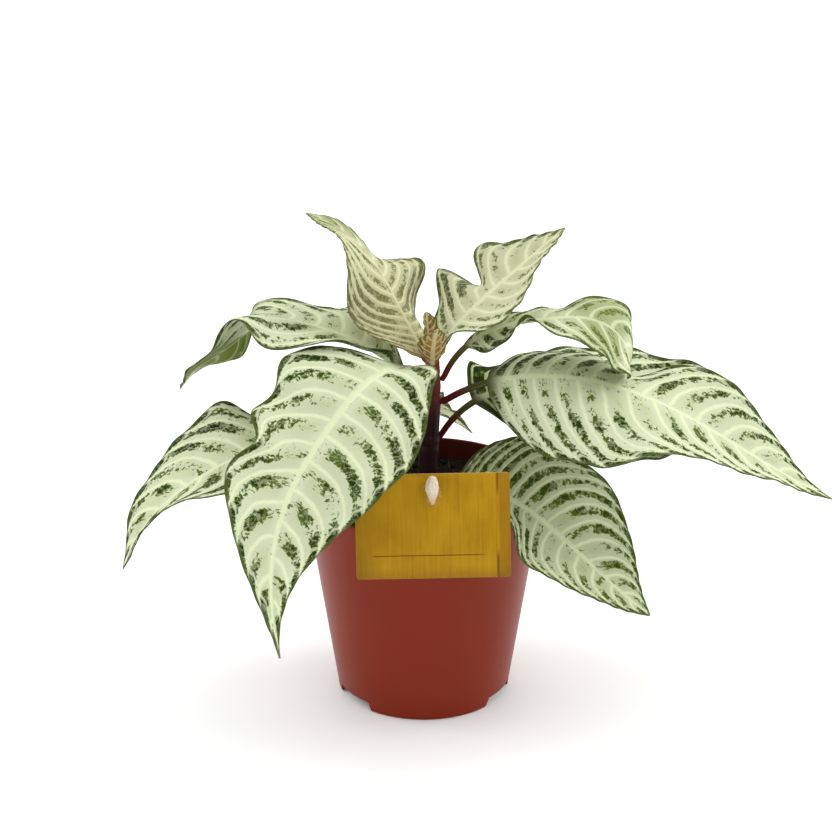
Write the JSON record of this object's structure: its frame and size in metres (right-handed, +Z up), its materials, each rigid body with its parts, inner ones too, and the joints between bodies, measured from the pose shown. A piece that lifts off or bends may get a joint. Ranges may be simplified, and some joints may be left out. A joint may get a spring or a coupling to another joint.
{
  "type": "potted zebra plant",
  "caption": "Small house plant with large pale leaves striped in dark green, on one stem in a round tapered plastic pot of soil, with a card tag tied in front.",
  "frame": {"origin": "on the surface that the pot stands on, under the middle of the whole plant's box; the pot's axis is about 28 mm to the left (-X) and 13 mm behind (+Y)", "axes": "+Z up; -Y is the front, where the tag hangs; +X is to the right of the tag as seen from the front"},
  "size_m": [0.3468, 0.279, 0.2359],
  "materials": {
    "pot_plastic": "satin",
    "soil": "matte",
    "stem": "satin",
    "leaf": "satin",
    "young_leaf": "satin",
    "tag_card": "satin",
    "tie_cotton": "matte"
  },
  "bodies": {
    "root": {"pot": "pot_plastic", "soil": "soil", "stem": "stem", "leaf_top_left": "leaf", "leaf_top_right": "leaf", "leaf_right_high": "leaf", "leaf_left_front": "leaf", "leaf_right": "leaf", "leaf_left_back": "leaf", "leaf_right_low": "leaf", "leaf_left": "leaf", "leaf_right_front": "leaf", "leaf_back": "leaf", "leaf_young_front": "young_leaf", "leaf_young_back": "young_leaf", "tag": "tag_card", "tag_tie": "tie_cotton"}
  },
  "joints": []
}
